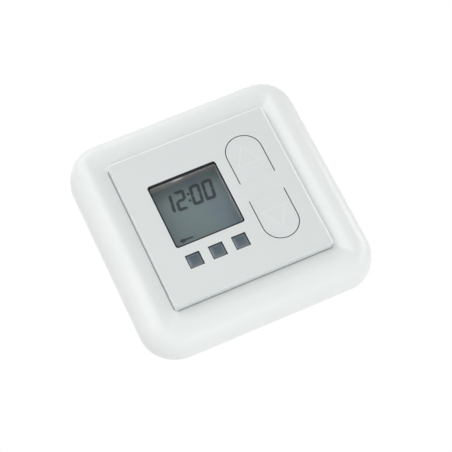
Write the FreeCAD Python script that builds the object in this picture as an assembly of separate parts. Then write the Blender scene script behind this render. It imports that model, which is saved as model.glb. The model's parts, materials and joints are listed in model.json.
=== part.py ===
import FreeCAD, Part
import math
import os

# A flush-mounted timer switch. The wall is the plane Y = 0, the front faces -Y and Z points up.
# Heights are measured from the wall towards the room, so a height below 0 lies inside the wall box.

# Cover plate, the square front of the control module
plate_side = 55.0
plate_height = 11.5
plate_corner = 1.0
plate_edge_round = 0.45
rim_round = 0.2
plate_face = 1.8
plate_skirt = 1.5
plate_boss = 4.0

# Cover frame around it
frame_side = 80.2
frame_corner = 12.0
frame_gap = 0.2
frame_wall = 2.2
frame_inner_wall = 2.4
frame_edge_height = 0.6
crest_height = 9.7
crest_inset = 6.9
crest_corner = 3.2
facet_angle = 15.0
mitre_corner = 0.9
opening_corner = 1.5
ledge_width = 2.25
ledge_thickness = 1.6
rib_thickness = 0.9
rib_place = 15.0
rib_lift = 0.5
bulge_steps = 9

# Display: pane, bezel and glass
window_side = 24.0
window_x = -6.9
window_z = 3.0
window_corner = 0.9
pane_recess = 0.25
pane_lip = 1.2
pane_lip_thickness = 0.8
glass_depth = 5.8
glass_thickness = 1.7
glass_margin_x = 1.2
glass_margin_z = 1.0
bezel_wall = 0.8
bezel_step = 0.1
strip_width = 1.8
strip_inset = 1.2
strip_length = 20.0

# Setting buttons under the display
button_side = 4.6
button_pitch = 8.0
button_x = -7.2
button_z = -14.9
button_recess = 0.1
button_round = 0.3
button_gap = 0.15
button_flange = 0.7
button_flange_thickness = 1.0
button_stem = 2.6

# Up and down keys
key_width = 11.96
key_slot = 0.3
key_x = 15.23
key_z = 0.15
key_root = 3.35
key_arc = 13.71
film_thickness = 0.4
film_width = 0.8
film_gap = 0.02
pip_radius = 1.6
triangle_base = 8.7
triangle_height = 7.5
triangle_width = 8.8
triangle_line = 0.55
triangle_relief = 0.12

# Push switches on the control board
switch_side = 4.5
switch_body_height = 2.7
switch_height = 5.0
switch_travel = 0.3
plunger_radius = 1.2
plunger_hidden = 1.2
key_switch_x = 14.2
key_switch_z = 11.35
touch_gap = 0.05

# Control board and what it carries
control_board_drop = 2.1
board_thickness = 1.6
post_inset_x = 2.8
post_inset_z = 4.9
post_radius = 1.6
board_screw_radius = 1.0
board_screw_length = 5.6
board_screw_head_radius = 1.9
board_screw_head = 1.3
chip_side = 7.0
chip_thickness = 1.5
chip_inset = 6.4
chip_z = -9.0
chip_lead = 1.0
chip_lead_count = 7
lead_pitch = 0.9
lead_thickness = 0.3
driver_length = 5.0
driver_width = 4.0
driver_lead_count = 5
driver_inset = 8.4
crystal_radius = 1.0
crystal_length = 6.2
crystal_z = -6.0
battery_radius = 8.0
battery_thickness = 3.2
battery_z = 9.0
clip_width = 5.0
clip_thickness = 0.3
clip_foot = 2.0

# Rear shell of the control module
shell_wall = 1.1
shell_floor = 1.2
shell_depth = 6.8
shell_flange = 1.4
shell_shelf = 0.9
shell_shelf_height = 2.0
collar_room = 1.3
snap_length = 6.0
snap_height = 0.6
snap_reach = 0.45

# Connector between the module and the insert
pin_pitch = 2.54
pin_columns = 4
pin_rows = 2
pin_side = 0.64
connector_z = -8.0
connector_border = 0.35
socket_height = 6.6
header_height = 2.5
pin_entry = 4.4
pin_tail = 0.8

# Support ring
ring_side = 71.0
ring_thickness = 1.0
ring_corner = 3.5
screw_spacing = 60.0
screw_slot_width = 3.6
screw_slot_length = 5.2
catch_length = 5.0
catch_width = 1.6
catch_place = 31.0
catch_offset = 15.0
tab_width = 5.2
tab_depth = 8.0
tab_hole = 2.6
bump_reach = 0.8

# Insert housing
pot_width = 44.6
pot_tall = 51.0
pot_chamfer = 9.0
pot_wall = 1.3
pot_shoulder = 0.8
pot_depth = 33.0
pot_floor = 1.5
pot_edge_round = 1.0
lid_depth = 7.2
lid_thickness = 1.5
power_board_depth = 10.5
pot_post_inset_x = 5.3
pot_post_inset_z = 11.3
pot_post_radius = 2.3
vent_count = 5
vent_pitch = 3.4
vent_width = 1.4
vent_length = 11.0
vent_z = 17.0

# Claws at the left and the right
claw_z = 8.0
claw_pivot_reach = 1.0
claw_pivot_depth = 3.5
claw_thickness = 0.8
claw_journal_radius = 0.4
claw_ear_thickness = 1.0
claw_ear_round = 1.1
claw_width = 6.4
claw_length = 19.0
claw_arm = 2.0
claw_tip = 2.2
claw_slot = 3.0
claw_slot_length = 5.0
claw_tooth = 1.4
claw_tooth_width = 1.2
claw_screw_radius = 1.25
claw_screw_length = 8.0
claw_head_radius = 2.0
claw_head = 0.9
drive_slot_width = 0.6
drive_slot_depth = 0.5

# Parts on the power board
relay_width = 10.0
relay_length = 20.0
relay_height = 12.5
relay_x = 6.2
relay_inset = 1.2
capacitor_width = 5.6
capacitor_length = 17.0
capacitor_height = 12.0
buffer_radius = 3.15
buffer_height = 12.5
buffer_z = 4.5
varistor_radius = 3.0
varistor_thickness = 3.6
varistor_z = -5.0
fuse_radius = 1.7
fuse_length = 8.5
fuse_x = -4.6
fuse_z = -2.5
rectifier_width = 6.4
rectifier_length = 4.6
rectifier_height = 2.6
rectifier_x = 7.8
rectifier_z = -4.0
choke_radius = 2.4
choke_height = 4.8
choke_waist = 0.7
choke_flange = 0.8

# Screw terminals
terminal_count = 4
terminal_pitch = 6.2
terminal_depth = 12.5
terminal_tall = 12.5
terminal_border = 0.3
entry_side = 3.6
entry_z = 6.0
well_radius = 2.25
well_depth = 3.1
clamp_side = 4.8
clamp_tall = 6.6
clamp_length = 5.6
clamp_wall = 0.8
terminal_screw_radius = 1.5
terminal_head_radius = 2.0
terminal_head = 1.8
tail_side = 0.9

# Clearances
fit = 0.1
slide_fit = 0.05
free = 0.3
touch = 0.0001

# Levels and places worked out from the sizes above
plate_half = plate_side / 2
plate_back = plate_height - plate_face
skirt_inner = plate_half - plate_skirt
opening_half = plate_half + frame_gap
frame_half = frame_side / 2
crest_half = frame_half - crest_inset
bulge_rise = crest_height - frame_edge_height
ledge_half = opening_half - ledge_width
ledge_top = ring_thickness + ledge_thickness
window_half = window_side / 2
pane_front = plate_height - pane_recess
pane_back = plate_back - pane_lip_thickness
glass_front = plate_height - glass_depth
glass_back = glass_front - glass_thickness
glass_half_x = window_half + glass_margin_x
glass_half_z = window_half + glass_margin_z
board_front = glass_back - control_board_drop
board_back = board_front - board_thickness
switch_top = board_front + switch_height
button_top = plate_height - button_recess
key_half = key_width / 2
button_places = [button_x + step * button_pitch for step in (-1, 0, 1)]
connector_half_x = pin_columns * pin_pitch / 2 + connector_border
connector_half_z = pin_rows * pin_pitch / 2 + connector_border
pot_half_x = pot_width / 2
pot_half_z = pot_tall / 2
shell_collar = ledge_half - collar_room
shell_outside = pot_wall + free
shell_inside = shell_outside + shell_wall
board_inset = shell_inside + 2 * fit
post_x = pot_half_x - pot_chamfer - post_inset_x
post_z = pot_half_z - post_inset_z
chip_x = board_inset + chip_inset - pot_half_x
driver_x = pot_half_x - board_inset - driver_inset
driver_z = board_screw_head_radius + free + driver_length / 2 - post_z
lid_back = lid_depth + lid_thickness
power_room = pot_wall + pot_shoulder
power_inset = power_room + 2 * fit
pot_post_x = pot_half_x - pot_post_inset_x
pot_post_z = pot_half_z - pot_post_inset_z
relay_z = pot_half_z - power_room - relay_inset - relay_length / 2
capacitor_x = power_room + free + capacitor_width / 2 - pot_half_x
buffer_x = pot_half_x - power_room - free - buffer_radius
varistor_x = pot_half_x - power_room - free - varistor_radius
choke_x = pot_post_radius + free + choke_radius - pot_post_x
choke_z = -capacitor_length / 2 - free - choke_radius
power_board_back = power_board_depth + board_thickness
terminal_width = terminal_count * terminal_pitch + 2 * terminal_border
terminal_places = [
    (number - (terminal_count - 1) / 2) * terminal_pitch for number in range(terminal_count)
]
terminal_bottom = -pot_half_z
terminal_mid_depth = pot_depth - terminal_depth / 2
claw_pivot_x = pot_half_x + claw_pivot_reach
claw_screw_x = claw_pivot_x + claw_arm
lid_screw_end = -power_board_back - board_screw_length / 2
tail_z = terminal_bottom + entry_z + clamp_tall / 2 - tail_side / 2
snap_middle = ledge_top + shell_flange / 2
tab_sides = ((0, pot_half_x), (90, pot_half_z), (180, pot_half_x), (270, pot_half_z))
corners = ((1, 1), (-1, 1), (-1, -1), (1, -1))
pieces = {}


def at(x, z, height):
    """The point at a place on the front and a height above the wall."""
    return FreeCAD.Vector(x, -height, z)


def rounded(half_x, half_z, corner, height, centre=(0, 0)):
    """Wire of a rectangle with round corners, parallel to the wall."""
    arcs = []
    for turn, (side_x, side_z) in enumerate(corners):
        mid_x = centre[0] + side_x * (half_x - corner)
        mid_z = centre[1] + side_z * (half_z - corner)
        angles = [math.radians(90 * turn + part) for part in (0, 45, 90)]
        arcs.append([at(mid_x + corner * math.cos(a), mid_z + corner * math.sin(a), height)
                     for a in angles])
    edges = []
    for number, (start, middle, end) in enumerate(arcs):
        edges.append(Part.Arc(start, middle, end).toShape())
        edges.append(Part.makeLine(end, arcs[(number + 1) % len(arcs)][0]))
    return Part.Wire(edges)


def slab(half_x, half_z, corner, low, high, centre=(0, 0)):
    """A rectangle with round corners, raised between two heights."""
    face = Part.Face(rounded(half_x, half_z, corner, low, centre))
    return face.extrude(FreeCAD.Vector(0, low - high, 0))


def block(x_low, x_high, z_low, z_high, low, high):
    """A box between two heights above the wall."""
    corner = at(x_low, z_low, high)
    return Part.makeBox(x_high - x_low, high - low, z_high - z_low, corner)


def centred(x, z, size_x, size_z, low, high):
    """A box around a place on the front, between two heights."""
    return block(x - size_x / 2, x + size_x / 2, z - size_z / 2, z + size_z / 2, low, high)


def peg(x, z, low, high, radius):
    """A round peg that stands off the wall between two heights."""
    return Part.makeCylinder(radius, high - low, at(x, z, low), FreeCAD.Vector(0, -1, 0))


def pot_slab(inset, low, high):
    """The housing's outline, a rectangle with cut corners, drawn in alike on all sides and raised."""
    half_x = pot_half_x - inset
    half_z = pot_half_z - inset
    leg = pot_chamfer - inset * (2 - math.sqrt(2))
    points = []
    for turn, (side_x, side_z) in enumerate(corners):
        pair = [at(side_x * half_x, side_z * (half_z - leg), low),
                at(side_x * (half_x - leg), side_z * half_z, low)]
        points += pair if turn % 2 == 0 else pair[::-1]
    face = Part.Face(Part.makePolygon(points + points[:1]))
    return face.extrude(FreeCAD.Vector(0, low - high, 0))


def together(shapes):
    """One solid from several that touch or cross."""
    return shapes[0].multiFuse(shapes[1:]).removeSplitter()


def group(shapes):
    """Separate solids of one kind that share a node."""
    return Part.makeCompound(shapes)


def turned_over(shape):
    """The same piece on the opposite side of the centre, half a turn round the front's axis."""
    copy = shape.copy()
    copy.rotate(FreeCAD.Vector(0, 0, 0), FreeCAD.Vector(0, 1, 0), 180)
    return copy


def edges_at(shape, height, half):
    """The edges that lie flat at a height and outside a square of the given half width."""
    found = []
    for edge in shape.Edges:
        box = edge.BoundBox
        flat = abs(box.YMin + height) < touch and abs(box.YMax + height) < touch
        outside = max(abs(box.XMin), abs(box.XMax), abs(box.ZMin), abs(box.ZMax)) > half
        if flat and outside:
            found.append(edge)
    return found


def rim_edges(shape, height, centre, half):
    """The edges that lie flat at a height, inside a square around a place."""
    found = []
    for edge in edges_at(shape, height, 0):
        box = edge.BoundBox
        reach = max(centre[0] - box.XMin, box.XMax - centre[0], centre[1] - box.ZMin, box.ZMax - centre[1])
        if reach < half:
            found.append(edge)
    return found


def bulge_section(turn, shrink):
    """One contour of the frame's bulge, from the crest at 0 degrees to the edge at 90 degrees."""
    sine, cosine = math.sin(math.radians(turn)), math.cos(math.radians(turn))
    half = crest_half + (crest_inset - shrink) * sine
    height = frame_edge_height + (bulge_rise - shrink) * cosine
    corner = crest_corner + (frame_corner - crest_corner) * max(sine, 0) - shrink * sine
    if sine < 0:
        corner = mitre_corner
    return half, corner, height


def frame_body(shrink, bottom):
    """The frame's filled form: a flat facet that rises to the crest, then a round fall to the edge."""
    slope = math.tan(math.radians(facet_angle))
    start = -math.degrees(math.atan(crest_inset * slope / bulge_rise))
    start_half, start_corner, start_height = bulge_section(start, shrink)
    rim_height = start_height - (start_half - opening_half) * slope
    sections = [(opening_half, opening_corner, rim_height), (start_half, start_corner, start_height)]
    sections += [bulge_section(90 * step / bulge_steps, shrink) for step in range(bulge_steps + 1)]
    sections.append((frame_half - shrink, frame_corner - shrink, bottom))
    wires = [rounded(half, half, corner, height) for half, corner, height in sections]
    return Part.makeLoft(wires, True, True)


def make_cover_frame():
    """Hollow frame with ribs behind the bulge and a ledge that the cover plate clamps."""
    hollow = frame_body(frame_wall, -frame_wall)
    wall_out = opening_half + frame_inner_wall
    hollow = hollow.cut(slab(wall_out, wall_out, opening_corner, -frame_wall, crest_height))
    ribs = []
    for turn in range(4):
        for side in (-1, 1):
            place = side * rib_place
            rib = block(opening_half, frame_half, place - rib_thickness / 2, place + rib_thickness / 2,
                        ring_thickness + rib_lift, crest_height)
            rib.rotate(FreeCAD.Vector(0, 0, 0), FreeCAD.Vector(0, 1, 0), 90 * turn)
            ribs.append(rib)
    hollow = hollow.cut(group(ribs))
    frame = frame_body(0, 0).cut(hollow)
    frame = frame.cut(slab(opening_half, opening_half, opening_corner, ledge_top, crest_height))
    frame = frame.cut(slab(ledge_half, ledge_half, opening_corner, -free, crest_height))
    ring_room = ring_side / 2 + free
    frame = frame.cut(slab(ring_room, ring_room, ring_corner, -free, ring_thickness))
    notch = centred(claw_screw_x, claw_z, 2 * (claw_head_radius + free),
                    2 * (claw_head_radius + free), 0, ledge_top)
    pieces["cover_frame"] = frame.cut(notch).cut(turned_over(notch))


def key_form(root, half, low, high, side):
    """A tab with a straight root and a round end; side is 1 upwards and -1 downwards."""
    straight = key_z + side * key_arc
    ends = sorted((key_z + side * root, straight))
    tab = block(key_x - half, key_x + half, ends[0], ends[1], low, high)
    return together([tab, peg(key_x, straight, low, high, half)])


def film_groove(side, start, end):
    """The cut behind a key's root that leaves only a thin film at the front."""
    ends = sorted((key_z + side * start, key_z + side * end))
    reach = key_half + key_slot
    return block(key_x - reach, key_x + reach, ends[0], ends[1],
                 plate_back - fit, plate_height - film_thickness)


def make_cover_plate():
    """Square front with a skirt, posts for the board and bosses for the rear shell."""
    plate = slab(plate_half, plate_half, plate_corner, ledge_top, plate_height)
    top_edges = edges_at(plate, plate_height, plate_half - plate_corner - fit)
    plate = plate.makeFillet(plate_edge_round, top_edges)
    plate = plate.cut(slab(skirt_inner, skirt_inner, plate_corner, ledge_top, plate_back))
    boss_foot = ledge_top + shell_flange
    added = [plate]
    for side_x, side_z in corners:
        place = skirt_inner - plate_boss / 2
        added.append(centred(side_x * place, side_z * place, plate_boss, plate_boss,
                             boss_foot, plate_back + fit))
        added.append(peg(side_x * post_x, side_z * post_z, board_front, plate_back + fit, post_radius))
    plate = together(added)
    for side_x, side_z in corners:
        hole = peg(side_x * post_x, side_z * post_z, board_front,
                   board_back + board_screw_length + fit, board_screw_radius)
        plate = plate.cut(hole)
    plate = plate.cut(slab(window_half, window_half, window_corner, plate_back - fit,
                           plate_height + fit, (window_x, window_z)))
    rim = rim_edges(plate, plate_height, (window_x, window_z), window_half + fit)
    plate = plate.makeFillet(rim_round, rim)
    for x in button_places:
        side = button_side + 2 * button_gap
        plate = plate.cut(centred(x, button_z, side, side, plate_back - fit, plate_height + fit))
        rim = rim_edges(plate, plate_height, (x, button_z), side / 2 + fit)
        plate = plate.makeFillet(rim_round / 2, rim)
    for side in (1, -1):
        plate = plate.cut(key_form(key_root, key_half + key_slot, plate_back - fit,
                                   plate_height + fit, side))
        plate = plate.cut(film_groove(side, key_root - film_width, key_root))
    for turn in range(4):
        pocket = block(skirt_inner - fit, skirt_inner + snap_reach + fit,
                       -snap_length / 2 - fit, snap_length / 2 + fit,
                       snap_middle - snap_height / 2 - fit,
                       snap_middle + snap_height / 2 + fit)
        pocket.rotate(FreeCAD.Vector(0, 0, 0), FreeCAD.Vector(0, 1, 0), 90 * turn)
        plate = plate.cut(pocket)
    pieces["cover_plate"] = plate


def triangle(side):
    """Raised outline of an arrow head that points to the key's round end."""
    base = key_z + side * triangle_base
    tip = base + side * triangle_height
    half = triangle_width / 2
    slant = math.hypot(half, triangle_height)
    base_in = base + side * triangle_line
    tip_in = tip - side * triangle_line * slant / half
    half_in = half * (tip_in - base_in) / (tip - base)
    solids = []
    for low_z, high_z, reach in ((base, tip, half), (base_in, tip_in, half_in)):
        points = [at(key_x - reach, low_z, plate_height - fit),
                  at(key_x + reach, low_z, plate_height - fit),
                  at(key_x, high_z, plate_height - fit)]
        face = Part.Face(Part.makePolygon(points + points[:1]))
        solids.append(face.extrude(FreeCAD.Vector(0, -triangle_relief - fit, 0)))
    return solids[0].cut(solids[1])


def make_keys():
    """Two tabs with a film hinge at the root and a pip behind that meets the push switch."""
    for name, side in (("up_key", 1), ("down_key", -1)):
        key = key_form(key_root + film_gap, key_half, plate_back, plate_height, side)
        key = key.cut(film_groove(side, key_root, key_root + film_width))
        pip = peg(key_switch_x, key_z + side * key_switch_z, switch_top + touch_gap,
                  plate_back + fit, pip_radius)
        pieces[name] = together([key, pip, triangle(side)])


def make_buttons():
    """Square buttons with a flange behind the plate and a stem down to the push switch."""
    for name, x in zip(("left_button", "middle_button", "right_button"), button_places):
        head = centred(x, button_z, button_side, button_side, plate_back - fit, button_top)
        head = head.makeFillet(button_round, edges_at(head, button_top, 0))
        flange_top = plate_back - touch_gap
        side = button_side + 2 * button_flange
        flange = centred(x, button_z, side, side, flange_top - button_flange_thickness, flange_top)
        stem = centred(x, button_z, button_stem, button_stem, switch_top + touch_gap,
                       flange_top - button_flange_thickness + fit)
        pieces[name] = together([head, flange, stem])


def make_display():
    """Clear pane, bezel, liquid crystal glass and the two contact strips behind it."""
    centre = (window_x, window_z)
    pane_half = window_half - slide_fit
    pane = slab(pane_half, pane_half, window_corner, pane_back, pane_front, centre)
    lip_half = window_half + pane_lip
    lip = slab(lip_half, lip_half, window_corner, pane_back, plate_back, centre)
    pieces["display_window"] = together([pane, lip])
    outer_x = glass_half_x + fit + bezel_wall
    outer_z = glass_half_z + fit + bezel_wall
    bezel_bottom = glass_back + slide_fit
    bezel = slab(outer_x, outer_z, window_corner, bezel_bottom, pane_back, centre)
    aperture = window_half + bezel_step
    bezel = bezel.cut(slab(aperture, aperture, window_corner, glass_front, pane_back, centre))
    bezel = bezel.cut(slab(glass_half_x + fit, glass_half_z + fit, fit, bezel_bottom, glass_front, centre))
    pieces["display_bezel"] = bezel
    pieces["display_glass"] = centred(window_x, window_z, 2 * glass_half_x, 2 * glass_half_z,
                                      glass_back, glass_front)
    for name, side in (("upper_contact_strip", 1), ("lower_contact_strip", -1)):
        z = window_z + side * (glass_half_z - strip_inset)
        pieces[name] = centred(window_x, z, strip_length, strip_width, board_front, glass_back)


def switch_places():
    """Where the five push switches stand on the board, with the names of their plungers."""
    places = [("up_plunger", key_switch_x, key_z + key_switch_z),
              ("down_plunger", key_switch_x, key_z - key_switch_z)]
    names = ("left_plunger", "middle_plunger", "right_plunger")
    places += [(name, x, button_z) for name, x in zip(names, button_places)]
    return places


def make_push_switches():
    """Five switch bodies, each with a blind hole in which its plunger slides."""
    bodies = []
    body_top = board_front + switch_body_height
    hole_bottom = body_top - plunger_hidden - 2 * switch_travel
    for name, x, z in switch_places():
        body = centred(x, z, switch_side, switch_side, board_front, body_top)
        bodies.append(body.cut(peg(x, z, hole_bottom, body_top, plunger_radius + slide_fit)))
        pieces[name] = peg(x, z, body_top - plunger_hidden, switch_top, plunger_radius)
    pieces["push_switches"] = group(bodies)


def make_control_board():
    """Board with cut corners and the parts on its rear side."""
    board = pot_slab(board_inset, board_back, board_front)
    screws = []
    for side_x, side_z in corners:
        x, z = side_x * post_x, side_z * post_z
        board = board.cut(peg(x, z, board_back, board_front, board_screw_radius + fit))
        head = peg(x, z, board_back - board_screw_head, board_back, board_screw_head_radius)
        head = head.cut(centred(x, z, 2 * board_screw_head_radius, drive_slot_width,
                                board_back - board_screw_head,
                                board_back - board_screw_head + drive_slot_depth))
        shank = peg(x, z, board_back, board_back + board_screw_length, board_screw_radius)
        screws.append(together([head, shank]))
    pieces["control_board"] = board
    pieces["board_screws"] = group(screws)


def chip(x, z, size_x, size_z, thickness, top, leads):
    """A flat chip with a row of bent leads along its two long sides, hanging from a board."""
    body = centred(x, z, size_x, size_z, top - lead_thickness - thickness, top - lead_thickness)
    solids = [body]
    for number in range(leads):
        lead_z = z + (number - (leads - 1) / 2) * lead_pitch
        solids.append(centred(x, lead_z, size_x + 2 * chip_lead, lead_pitch / 2,
                              top - lead_thickness, top))
    return together(solids)


def make_control_parts():
    """Microcontroller, driver chip, crystal, battery and clip behind the control board."""
    pieces["microcontroller"] = chip(chip_x, chip_z, chip_side, chip_side, chip_thickness,
                                    board_back, chip_lead_count)
    pieces["driver_chip"] = chip(driver_x, driver_z, driver_width, driver_length, chip_thickness,
                                 board_back, driver_lead_count)
    start = at(driver_x - crystal_length / 2, crystal_z, board_back - crystal_radius)
    pieces["clock_crystal"] = Part.makeCylinder(crystal_radius, crystal_length, start,
                                                FreeCAD.Vector(1, 0, 0))
    battery_front = board_back - touch_gap
    battery_back = battery_front - battery_thickness
    pieces["backup_battery"] = peg(0, battery_z, battery_back, battery_front, battery_radius)
    reach = battery_radius + free
    bridge = centred(0, battery_z, 2 * (reach + clip_thickness), clip_width,
                     battery_back - clip_thickness, battery_back)
    clip = [bridge]
    for side in (-1, 1):
        leg_x = side * (reach + clip_thickness / 2)
        clip.append(centred(leg_x, battery_z, clip_thickness, clip_width,
                            battery_back - clip_thickness, board_back))
        foot_x = side * (reach + clip_foot / 2)
        clip.append(centred(foot_x, battery_z, clip_foot, clip_width,
                            board_back - clip_thickness, board_back))
    pieces["battery_clip"] = together(clip)


def pin_places():
    """The places of the connector's pins."""
    places = []
    for column in range(pin_columns):
        for row in range(pin_rows):
            places.append(((column - (pin_columns - 1) / 2) * pin_pitch,
                           connector_z + (row - (pin_rows - 1) / 2) * pin_pitch))
    return places


def make_connector():
    """Socket behind the control board; header and pins in front of the power board."""
    socket_back = board_back - socket_height
    socket = centred(0, connector_z, 2 * connector_half_x, 2 * connector_half_z, socket_back, board_back)
    header_front = header_height - power_board_depth
    header = centred(0, connector_z, 2 * connector_half_x, 2 * connector_half_z,
                     -power_board_depth, header_front)
    pins = []
    pin_front = socket_back + pin_entry
    for x, z in pin_places():
        hole = pin_side + 2 * fit
        socket = socket.cut(centred(x, z, hole, hole, socket_back, pin_front + fit))
        snug = pin_side + slide_fit
        header = header.cut(centred(x, z, snug, snug, -power_board_depth, header_front))
        pins.append(centred(x, z, pin_side, pin_side, -power_board_back - pin_tail, pin_front))
    pieces["module_socket"] = socket
    pieces["pin_header"] = header
    pieces["header_pins"] = group(pins)


def make_module_back():
    """Rear shell: a flange in the skirt, a collar in the frame's ledge and a tray in the housing."""
    flange_half = skirt_inner - slide_fit
    flange_top = ledge_top + shell_flange
    tray_back = -shell_depth
    shell = together([
        slab(flange_half, flange_half, plate_corner, ledge_top, flange_top),
        slab(shell_collar, shell_collar, plate_corner, shell_shelf_height, ledge_top + fit),
        pot_slab(shell_outside, tray_back, shell_shelf_height + fit)])
    shelf_top = shell_shelf_height + shell_shelf
    collar_inner = shell_collar - shell_wall
    shell = shell.cut(slab(collar_inner, collar_inner, plate_corner, shelf_top, flange_top))
    shell = shell.cut(pot_slab(shell_inside, tray_back + shell_floor, flange_top))
    shell = shell.cut(centred(0, connector_z, 2 * (connector_half_x + free),
                              2 * (connector_half_z + free), tray_back, tray_back + shell_floor))
    for turn in range(4):
        snap = block(flange_half - fit, skirt_inner + snap_reach, -snap_length / 2, snap_length / 2,
                     snap_middle - snap_height / 2,
                     snap_middle + snap_height / 2)
        snap.rotate(FreeCAD.Vector(0, 0, 0), FreeCAD.Vector(0, 1, 0), 90 * turn)
        shell = shell.fuse(snap)
    pieces["module_back"] = shell.removeSplitter()


def make_support_ring():
    """Steel ring on the wall with bent tabs, slots for box screws and windows for covers."""
    half = ring_side / 2
    ring = slab(half, half, ring_corner, 0, ring_thickness)
    tabs = []
    for turn, reach in tab_sides:
        inner = reach + fit
        tab = block(inner, inner + ring_thickness, -tab_width / 2, tab_width / 2,
                    -tab_depth, ring_thickness)
        hole_mid = -tab_depth / 2
        tab = tab.cut(block(inner, inner + ring_thickness, -tab_hole / 2, tab_hole / 2,
                            hole_mid - tab_hole / 2, hole_mid + tab_hole / 2))
        tab.rotate(FreeCAD.Vector(0, 0, 0), FreeCAD.Vector(0, 1, 0), -turn)
        tabs.append(tab)
    ring = ring.cut(pot_slab(-fit, 0, ring_thickness))
    ring = together([ring] + tabs)
    slot_half = screw_slot_length / 2
    slot_radius = screw_slot_width / 2
    for turn in range(4):
        slot = together([
            centred(screw_spacing / 2, 0, screw_slot_length - screw_slot_width, screw_slot_width,
                    0, ring_thickness),
            peg(screw_spacing / 2 - slot_half + slot_radius, 0, 0, ring_thickness, slot_radius),
            peg(screw_spacing / 2 + slot_half - slot_radius, 0, 0, ring_thickness, slot_radius)])
        windows = [centred(catch_place, side * catch_offset, catch_width, catch_length,
                           0, ring_thickness) for side in (-1, 1)]
        for cut in [slot] + windows:
            cut.rotate(FreeCAD.Vector(0, 0, 0), FreeCAD.Vector(0, 1, 0), 90 * turn)
            ring = ring.cut(cut)
    hole = peg(claw_screw_x, claw_z, 0, ring_thickness, claw_screw_radius + fit)
    ring = ring.cut(hole).cut(turned_over(hole))
    ears = [claw_ear(side) for side in (-1, 1)]
    pieces["support_ring"] = together([ring] + ears + [turned_over(ear) for ear in ears])


def pivot_pin(radius, z_low, z_high):
    """A round pin on the right claw's pivot axis."""
    start = at(claw_pivot_x, z_low, -claw_pivot_depth)
    return Part.makeCylinder(radius, z_high - z_low, start, FreeCAD.Vector(0, 0, 1))


def claw_ear(side):
    """A lug bent back from the ring beside the right claw, with the bearing hole for its journal."""
    near = claw_z + side * (claw_width / 2 + fit)
    low, high = sorted((near, near + side * claw_ear_thickness))
    reach = claw_pivot_x + claw_ear_round
    lug = block(pot_half_x + fit, reach, low, high, -claw_pivot_depth, ring_thickness)
    end = pivot_pin(claw_ear_round, low, high)
    end = end.common(block(pot_half_x + fit, reach, low, high, -pot_depth, 0))
    return together([lug, end]).cut(pivot_pin(claw_journal_radius + slide_fit, low, high))


def make_claws():
    """Claws that pivot between the ring's ears, and the screws that pull their feet forwards."""
    foot_front = -claw_pivot_depth + claw_thickness / 2
    foot_back = foot_front - claw_thickness
    leg_in = claw_pivot_x - claw_thickness / 2
    leg_out = claw_pivot_x + claw_thickness / 2
    foot = block(leg_in, claw_screw_x + claw_tip, claw_z - claw_width / 2, claw_z + claw_width / 2,
                 foot_back, foot_front)
    foot_edges = [edge for edge in foot.Edges
                  if abs(edge.BoundBox.XMin - claw_screw_x - claw_tip) < touch
                  and edge.BoundBox.YLength > fit]
    foot = foot.makeChamfer(claw_thickness, foot_edges)
    leg_back = foot_front - claw_length
    leg = block(leg_in, leg_out, claw_z - claw_width / 2, claw_z + claw_width / 2,
                leg_back, foot_back + fit)
    teeth = []
    for step in (-1, 0, 1):
        tooth_z = claw_z + step * (claw_width - claw_tooth_width) / 2
        teeth.append(centred(leg_out + claw_tooth / 2 - fit / 2, tooth_z, claw_tooth + fit,
                             claw_tooth_width, leg_back, leg_back + claw_thickness))
    claw = together([foot, leg] + teeth)
    bend = [edge for edge in claw.Edges
            if abs(edge.BoundBox.XMax - leg_in) < touch and abs(edge.BoundBox.YMin + foot_front) < touch
            and edge.BoundBox.ZLength > claw_width - touch]
    claw = claw.makeFillet(claw_thickness / 2, bend)
    journal_reach = claw_width / 2 + fit + claw_ear_thickness
    claw = together([claw, pivot_pin(claw_journal_radius, claw_z - journal_reach, claw_z + journal_reach)])
    claw = claw.cut(centred(claw_screw_x, claw_z, 2 * claw_screw_radius + claw_thickness + 2 * fit,
                            claw_slot, foot_back, foot_front))
    claw = claw.cut(block(leg_in, leg_out, claw_z - claw_slot / 2, claw_z + claw_slot / 2,
                          foot_back - claw_slot_length, foot_back))
    pieces["right_claw"] = claw
    pieces["left_claw"] = turned_over(claw)
    head = peg(claw_screw_x, claw_z, ring_thickness, ring_thickness + claw_head, claw_head_radius)
    head = head.cut(centred(claw_screw_x, claw_z, 2 * claw_head_radius, drive_slot_width,
                            ring_thickness + claw_head - drive_slot_depth, ring_thickness + claw_head))
    shank = peg(claw_screw_x, claw_z, ring_thickness - claw_screw_length, ring_thickness, claw_screw_radius)
    screw = together([head, shank])
    pieces["right_claw_screw"] = screw
    pieces["left_claw_screw"] = turned_over(screw)


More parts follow.
